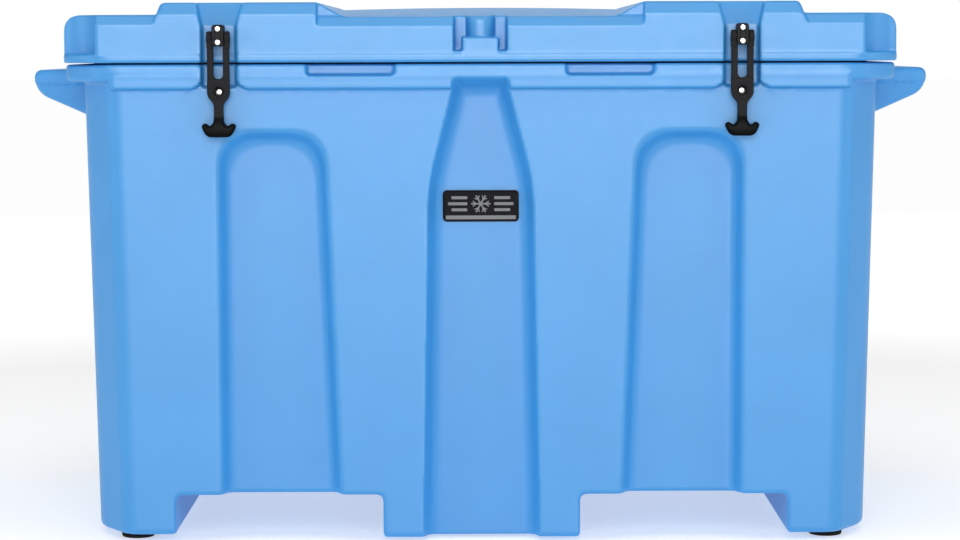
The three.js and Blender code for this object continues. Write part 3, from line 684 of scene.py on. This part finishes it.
def principled(name, colour, roughness, metallic=0.0):
    mat = bpy.data.materials.new(name)
    mat.use_nodes = True
    shader = mat.node_tree.nodes["Principled BSDF"]
    shader.inputs["Base Color"].default_value = (*colour, 1.0)
    shader.inputs["Roughness"].default_value = roughness
    shader.inputs["Metallic"].default_value = metallic
    return mat, shader


def noise(mat, scale, detail=3.0):
    """Noise that is fixed to the piece."""
    tree = mat.node_tree
    coord = tree.nodes.new("ShaderNodeTexCoord")
    node = tree.nodes.new("ShaderNodeTexNoise")
    node.inputs["Scale"].default_value = scale
    node.inputs["Detail"].default_value = detail
    tree.links.new(coord.outputs["Object"], node.inputs["Vector"])
    return node.outputs["Fac"]


def relief(mat, shader, layers):
    """Stacked bump layers of (height socket, distance in metres)."""
    tree = mat.node_tree
    last = None
    for height, distance in layers:
        bump = tree.nodes.new("ShaderNodeBump")
        bump.inputs["Distance"].default_value = distance
        bump.inputs["Strength"].default_value = 1.0
        tree.links.new(height, bump.inputs["Height"])
        if last is not None:
            tree.links.new(last, bump.inputs["Normal"])
        last = bump.outputs["Normal"]
    tree.links.new(last, shader.inputs["Normal"])


def vary(mat, shader, socket, fac, low, high):
    """Blend one input between two values or colours."""
    tree = mat.node_tree
    ramp = tree.nodes.new("ShaderNodeValToRGB")
    ramp.color_ramp.elements[0].position = 0.3
    ramp.color_ramp.elements[1].position = 0.7
    for element, value in zip(ramp.color_ramp.elements, (low, high)):
        element.color = (*value, 1.0) if isinstance(value, tuple) else (value, value, value, 1.0)
    tree.links.new(fac, ramp.inputs["Fac"])
    tree.links.new(ramp.outputs["Color"], shader.inputs[socket])


def by_height(mat, low, high):
    """0 below, 1 above a height of the piece, in metres."""
    tree = mat.node_tree
    coord = tree.nodes.new("ShaderNodeTexCoord")
    split = tree.nodes.new("ShaderNodeSeparateXYZ")
    span = tree.nodes.new("ShaderNodeMapRange")
    span.inputs["From Min"].default_value = low
    span.inputs["From Max"].default_value = high
    tree.links.new(coord.outputs["Object"], split.inputs["Vector"])
    tree.links.new(split.outputs["Z"], span.inputs["Value"])
    return span.outputs["Result"]


SHELL_SPECULAR = 0.5


def moulded_blue(name, colour, roughness):
    """Polyethylene skin, a little uneven in colour and gloss, with a fine moulded grain."""
    mat, shader = principled(name, colour, roughness)
    shader.inputs["Specular IOR Level"].default_value = SHELL_SPECULAR
    darker = tuple(c * 0.97 for c in colour)
    lighter = tuple(c * 1.03 for c in colour)
    vary(mat, shader, "Base Color", noise(mat, 9.0, 4.0), darker, lighter)
    vary(mat, shader, "Roughness", noise(mat, 55.0, 4.0), roughness - 0.03, roughness + 0.03)
    relief(mat, shader, [(noise(mat, 60.0, 2.0), 0.00006), (noise(mat, 750.0, 2.0), 0.00007)])
    return mat


tub_mat = moulded_blue("blue_polyethylene", (0.044, 0.300, 0.690), 0.45)
# The lid is the tub's blue made a little darker: painted shade that takes off the extra light its upper
# faces catch from the lamps.
shaded_lid_mat = moulded_blue("blue_polyethylene_lid", (0.044, 0.296, 0.670), 0.43)

# The cross handle of the strap, below this span of height, is blacker and glossier than the rest.
HANDLE_FADE = (0.6365, 0.6390)
rubber_mat, shader = principled("strap_rubber", (0.03, 0.03, 0.032), 0.6)
shader.inputs["Specular IOR Level"].default_value = 0.05
fade = by_height(rubber_mat, *HANDLE_FADE)
vary(rubber_mat, shader, "Base Color", fade, (0.002, 0.002, 0.002), (0.017, 0.017, 0.019))
vary(rubber_mat, shader, "Roughness", fade, 0.5, 0.62)
coarse = noise(rubber_mat, 420.0, 3.0)
grain = noise(rubber_mat, 1600.0, 2.0)
relief(rubber_mat, shader, [(coarse, 0.00012), (grain, 0.00006)])

foot_mat, shader = principled("foot_rubber", (0.010, 0.010, 0.011), 0.7)
shader.inputs["Specular IOR Level"].default_value = 0.1
vary(foot_mat, shader, "Roughness", noise(foot_mat, 160.0), 0.62, 0.8)
relief(foot_mat, shader, [(noise(foot_mat, 900.0, 3.0), 0.00012)])

nylon_mat, shader = principled("black_nylon", (0.010, 0.010, 0.011), 0.5)
shader.inputs["Specular IOR Level"].default_value = 0.08
vary(nylon_mat, shader, "Roughness", noise(nylon_mat, 240.0), 0.42, 0.56)
relief(nylon_mat, shader, [(noise(nylon_mat, 1300.0, 2.0), 0.00006)])

seal_mat, shader = principled("seal_rubber", (0.02, 0.02, 0.021), 0.75)
vary(seal_mat, shader, "Roughness", noise(seal_mat, 120.0), 0.66, 0.84)
relief(seal_mat, shader, [(noise(seal_mat, 700.0, 3.0), 0.0001)])

steel_mat, shader = principled("stainless_steel", (0.62, 0.63, 0.64), 0.28, 1.0)
vary(steel_mat, shader, "Roughness", noise(steel_mat, 500.0, 4.0), 0.2, 0.36)
relief(steel_mat, shader, [(noise(steel_mat, 1800.0, 3.0), 0.00002)])

badge_mat, shader = principled("badge_black", (0.006, 0.006, 0.007), 0.4)
shader.inputs["Specular IOR Level"].default_value = 0.04
vary(badge_mat, shader, "Roughness", noise(badge_mat, 140.0), 0.24, 0.36)
relief(badge_mat, shader, [(noise(badge_mat, 1500.0, 2.0), 0.00003)])

silver_mat, shader = principled("badge_silver", (0.20, 0.205, 0.21), 0.5)
shader.inputs["Specular IOR Level"].default_value = 0.2
vary(silver_mat, shader, "Roughness", noise(silver_mat, 420.0), 0.36, 0.5)
relief(silver_mat, shader, [(noise(silver_mat, 1500.0, 2.0), 0.00003)])

foam_mat, shader = principled("insulating_foam", (0.80, 0.70, 0.44), 0.9)
vary(foam_mat, shader, "Base Color", noise(foam_mat, 35.0, 5.0), (0.70, 0.60, 0.36), (0.84, 0.75, 0.50))
relief(foam_mat, shader, [(noise(foam_mat, 260.0, 5.0), 0.0008)])

# ---------------------------------------------------------------- the two big mouldings

# Grid steps, in millimetres; FINE scales those of the small pieces.
TUB_STEP = 4.0
LID_STEP = 3.5
FINE = 1.0
TUB_SKIN = 6.0     # from the outside of a moulding to its foam
LID_SKIN = 5.5
TUB_KEEP = 0.3
LID_KEEP = 0.35


def fit(obj, node, body, mat):
    """Hand a finished piece its node, body and material."""
    if node:
        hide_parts(node)
    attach(obj, body)
    obj.data.materials.clear()
    obj.data.materials.append(mat)


tub = shaped("tub_moulding", tub_field, (-700, -395, -5), (700, 395, 735), TUB_STEP, TUB_KEEP)
fit(tub, "tub_shell", "tub", tub_mat)
lid = shaped("lid_moulding", lid_field, (-640, -385, 695), (640, 395, 812), LID_STEP, LID_KEEP)
fit(lid, "lid_shell", "lid", shaded_lid_mat)

# ---------------------------------------------------------------- the foam inside them


def tub_foam_field(x, y, z):
    return tub_field(x, y, z) + TUB_SKIN


def lid_foam_field(x, y, z):
    return lid_field(x, y, z) + LID_SKIN


foam = shaped("tub_filling", tub_foam_field, (-690, -390, 0), (690, 390, 725), 2.5 * TUB_STEP, 0.6)
fit(foam, "tub_foam_core", "tub", foam_mat)
foam = shaped("lid_filling", lid_foam_field, (-635, -380, 700), (635, 380, 808), 2.0 * LID_STEP, 0.6)
fit(foam, "lid_foam_core", "lid", foam_mat)

# ---------------------------------------------------------------- small pieces


def moved(source, name, change):
    mesh = source.data.copy()
    mesh.transform(change)
    obj = bpy.data.objects.new(name, mesh)
    bpy.context.scene.collection.objects.link(obj)
    return obj


def twin(source, name, shift):
    """Copy of a piece moved by some millimetres."""
    return moved(source, name, Matrix.Translation([c * METRES for c in shift]))


def turned(source, name, shift):
    """Copy of a piece turned half round the Z axis, then moved."""
    place = Matrix.Translation([c * METRES for c in shift])
    return moved(source, name, place @ Matrix.Rotation(math.pi, 4, "Z"))


# One mesh for each kind of piece, near the middle of the object: field, box, step and share of faces kept.
SOURCES = {
    "strap": (strap_field, (-27, -388, 602), (27, -360, 768), 1.0, 0.5),
    "anchor": (anchor_field, (-11, -384, 735), (11, -352, 775), 0.8, 0.6),
    "anchor_screw": (anchor_screw_field, (-6, -383, -6), (6, -336, 6), 0.45, 0.5),
    "keeper": (keeper_field, (-12, -369, 662), (12, -360, 686), 0.6, 0.6),
    "keeper_screw": (keeper_screw_field, (-7, -369, 667), (7, -349, 681), 0.45, 0.5),
    "latch_pin": (latch_pin_field, (-19, -377, 750), (19, -367, 760), 0.7, 0.6),
    "foot": (foot_field, (-29, -29, -2), (29, 29, 13), 1.0, 0.5),
    "foot_screw": (foot_screw_field, (-7, -7, 0), (7, 7, 36), 0.5, 0.5),
    "tub_plug": (tub_plug_field, (-22, -22, 69), (22, 22, 80), 0.8, 0.5),
    "pin": (pin_field, (-64, -6, -6), (64, 6, 6), 0.9, 0.6),
    "cap": (hinge_cap_field, (57, -10, -10), (66, 10, 10), 0.6, 0.6),
}

kinds = {}
for kind, (field, low, high, step, share) in SOURCES.items():
    kinds[kind] = shaped(kind + "_source", field, low, high, step * FINE, share)


def put(kind, name, shift, node, body, mat):
    """Copy of one kind of piece in the place of a node."""
    fit(twin(kinds[kind], name, shift), node, body, mat)


for word, sign in (("left", -1.0), ("right", 1.0)):
    at = (sign * LATCH_X, 0.0, 0.0)
    body = "latch_" + word
    put("strap", "strap_" + word, at, "latch_strap_" + word, body, rubber_mat)
    put("anchor", "anchor_" + word, at, "latch_anchor_" + word, "lid", nylon_mat)
    put("latch_pin", "pivot_pin_" + word, at, "latch_pin_" + word, "lid", steel_mat)
    put("keeper", "keeper_button_" + word, at, "keeper_" + word, "tub", nylon_mat)
    put("keeper_screw", "keeper_fixing_" + word, at, "keeper_screw_" + word, "tub", steel_mat)
    for place, height in (("upper", SCREW_Z[0]), ("lower", SCREW_Z[1])):
        here = (sign * LATCH_X, 0.0, height)
        made = twin(kinds["anchor_screw"], "anchor_fixing_" + place + "_" + word, here)
        fit(made, "anchor_screw_" + place + "_" + word, "lid", steel_mat)
    here = (sign * TUB_PORT_X, 0.0, 0.0)
    put("tub_plug", "pocket_plug_" + word, here, "tub_fill_plug_" + word, "tub", nylon_mat)
    here = (sign * HINGE_X, HINGE_Y, HINGE_Z)
    put("pin", "hinge_rod_" + word, here, "hinge_pin_" + word, "tub", steel_mat)
    right_end = twin(kinds["cap"], "rod_cap_" + word + "_" + ("outer" if sign > 0 else "inner"), here)
    left_end = turned(kinds["cap"], "rod_cap_" + word + "_" + ("inner" if sign > 0 else "outer"), here)
    for made in (right_end, left_end):
        fit(made, made.name.replace("rod_cap", "hinge_cap"), "tub", nylon_mat)
    for place, side in (("front", -1.0), ("rear", 1.0)):
        here = (sign * FOOT_X, side * FOOT_Y, 0.0)
        tail = place + "_" + word
        put("foot", "pad_foot_" + tail, here, "foot_" + tail, "tub", foot_mat)
        put("foot_screw", "foot_fixing_" + tail, here, "foot_screw_" + tail, "tub", steel_mat)

for source in kinds.values():
    bpy.data.objects.remove(source)

made = shaped("lid_underside_plug", lid_plug_field, (-18, 182, 697), (18, 218, 707), 0.8 * FINE, 0.5)
fit(made, "lid_fill_plug", "lid", nylon_mat)
made = shaped("drain_fitting", bulkhead_field, (-575, -23, 127), (-530, 23, 173), 0.9 * FINE, 0.5)
fit(made, "drain_bulkhead", "tub", nylon_mat)
made = shaped("drain_knob", drain_cap_field, (-588, -20, 130), (-553, 20, 170), 0.7 * FINE, 0.5)
fit(made, "drain_cap", "drain_plug", nylon_mat)
made = shaped("drain_ring", drain_seal_field, (-577, -14, 136), (-572, 14, 164), 0.5 * FINE, 0.7)
fit(made, "drain_cap_seal", "drain_plug", seal_mat)
made = shaped("lid_seal", gasket_field, (-587, -343, 713), (587, 343, 724), 1.6 * FINE, 0.4)
fit(made, "lid_gasket", "lid", seal_mat)
made = shaped("badge_face", badge_field, (-59, -336, 477), (59, -326, 529), 0.8 * FINE, 0.4)
fit(made, "badge_plate", "tub", badge_mat)
made = shaped("badge_mark", badge_mark_field, (-52, -336, 489), (52, -328, 523), 0.5 * FINE, 0.5)
fit(made, None, "tub", silver_mat)
made = shaped("badge_strip", badge_strip_field, (-55, -336, 481), (55, -328, 491), 0.5 * FINE, 0.5)
fit(made, None, "tub", silver_mat)

# ---------------------------------------------------------------- stage, light, camera

# Metres: half side of the floor, and the distances from the middle of the object between which it
# brightens into the background.
FLOOR_HALF = 60
FADE_START = 1.0
FADE_END = 4.0
FILL_STRENGTH = 0.2
# Degrees below level, and about the line of sight.
PITCH_DOWN = 4.743
ROLL = -0.19

floor_mesh = bpy.data.meshes.new("floor")
corners = [(sx * FLOOR_HALF, sy * FLOOR_HALF, 0) for sx, sy in ((-1, -1), (1, -1), (1, 1), (-1, 1))]
floor_mesh.from_pydata(corners, [], [(0, 1, 2, 3)])
floor = bpy.data.objects.new("floor", floor_mesh)
bpy.context.scene.collection.objects.link(floor)
floor_mat, floor_shader = principled("pale_floor", (0.7, 0.7, 0.7), 0.8)
floor_shader.inputs["Specular IOR Level"].default_value = 0.1
floor_shader.inputs["Emission Strength"].default_value = 1.0
tree = floor_mat.node_tree
coord = tree.nodes.new("ShaderNodeTexCoord")
reach = tree.nodes.new("ShaderNodeVectorMath")
reach.operation = "LENGTH"
away = tree.nodes.new("ShaderNodeMapRange")
away.interpolation_type = "SMOOTHSTEP"
away.inputs["From Min"].default_value = FADE_START
away.inputs["From Max"].default_value = FADE_END
tree.links.new(coord.outputs["Object"], reach.inputs[0])
tree.links.new(reach.outputs["Value"], away.inputs["Value"])
vary(floor_mat, floor_shader, "Base Color", away.outputs["Result"], 0.7, 0.03)
vary(floor_mat, floor_shader, "Emission Color", away.outputs["Result"], 0.5, 0.97)
floor.data.materials.append(floor_mat)

# The camera sees a white background; everything else gets a dim, even fill from it.
world = bpy.data.worlds.new("studio")
bpy.context.scene.world = world
world.use_nodes = True
tree = world.node_tree
seen = tree.nodes["Background"]
seen.inputs["Color"].default_value = (1.0, 1.0, 1.0, 1.0)
seen.inputs["Strength"].default_value = 1.0
fill = tree.nodes.new("ShaderNodeBackground")
fill.inputs["Color"].default_value = (1.0, 1.0, 1.0, 1.0)
fill.inputs["Strength"].default_value = FILL_STRENGTH
path = tree.nodes.new("ShaderNodeLightPath")
mix = tree.nodes.new("ShaderNodeMixShader")
tree.links.new(path.outputs["Is Camera Ray"], mix.inputs["Fac"])
tree.links.new(fill.outputs["Background"], mix.inputs[1])
tree.links.new(seen.outputs["Background"], mix.inputs[2])
tree.links.new(mix.outputs["Shader"], tree.nodes["World Output"].inputs["Surface"])


def area(name, place, target, size, power, gloss_only=False):
    """Soft panel aimed at a target; a gloss only panel adds to reflections alone."""
    light = bpy.data.lights.new(name, "AREA")
    light.shape = "RECTANGLE"
    light.size = size[0]
    light.size_y = size[1]
    light.energy = power
    obj = bpy.data.objects.new(name, light)
    obj.location = place
    obj.rotation_euler = (Vector(target) - Vector(place)).to_track_quat("-Z", "Y").to_euler()
    bpy.context.scene.collection.objects.link(obj)
    obj.visible_camera = False
    obj.visible_diffuse = not gloss_only


area("front_panel", (0.0, -5.6, 3.1), (0, 0, 0.5), (3.6, 2.0), 112.0)
area("sheen_panel", (0.0, -6.2, 2.0), (0, 0, 0.6), (6.0, 3.6), 560.0, True)
area("side_left", (-5.0, -1.6, 1.7), (0, 0, 0.4), (2.6, 2.2), 58.0)
area("side_right", (5.0, -1.6, 1.7), (0, 0, 0.4), (2.6, 2.2), 58.0)
area("top_panel", (0.0, -0.8, 4.2), (0, -0.1, 0.8), (4.0, 3.0), 72.0)
area("back_panel", (0.0, 7.0, 2.2), (0, 0, 0.8), (9.0, 4.5), 127.0, True)

camera_data = bpy.data.cameras.new("camera")
camera_data.sensor_width = 36.0
camera_data.lens = 101.69
camera_data.clip_end = 60.0
camera = bpy.data.objects.new("camera", camera_data)
camera.location = (-0.0015, -4.37, 0.7419)
camera.rotation_mode = "XYZ"
camera.rotation_euler = (math.radians(90.0 - PITCH_DOWN), 0.0, 0.0)
camera.rotation_euler.rotate_axis("Z", math.radians(ROLL))
bpy.context.scene.collection.objects.link(camera)
bpy.context.scene.camera = camera

bpy.context.scene.view_settings.view_transform = "Standard"
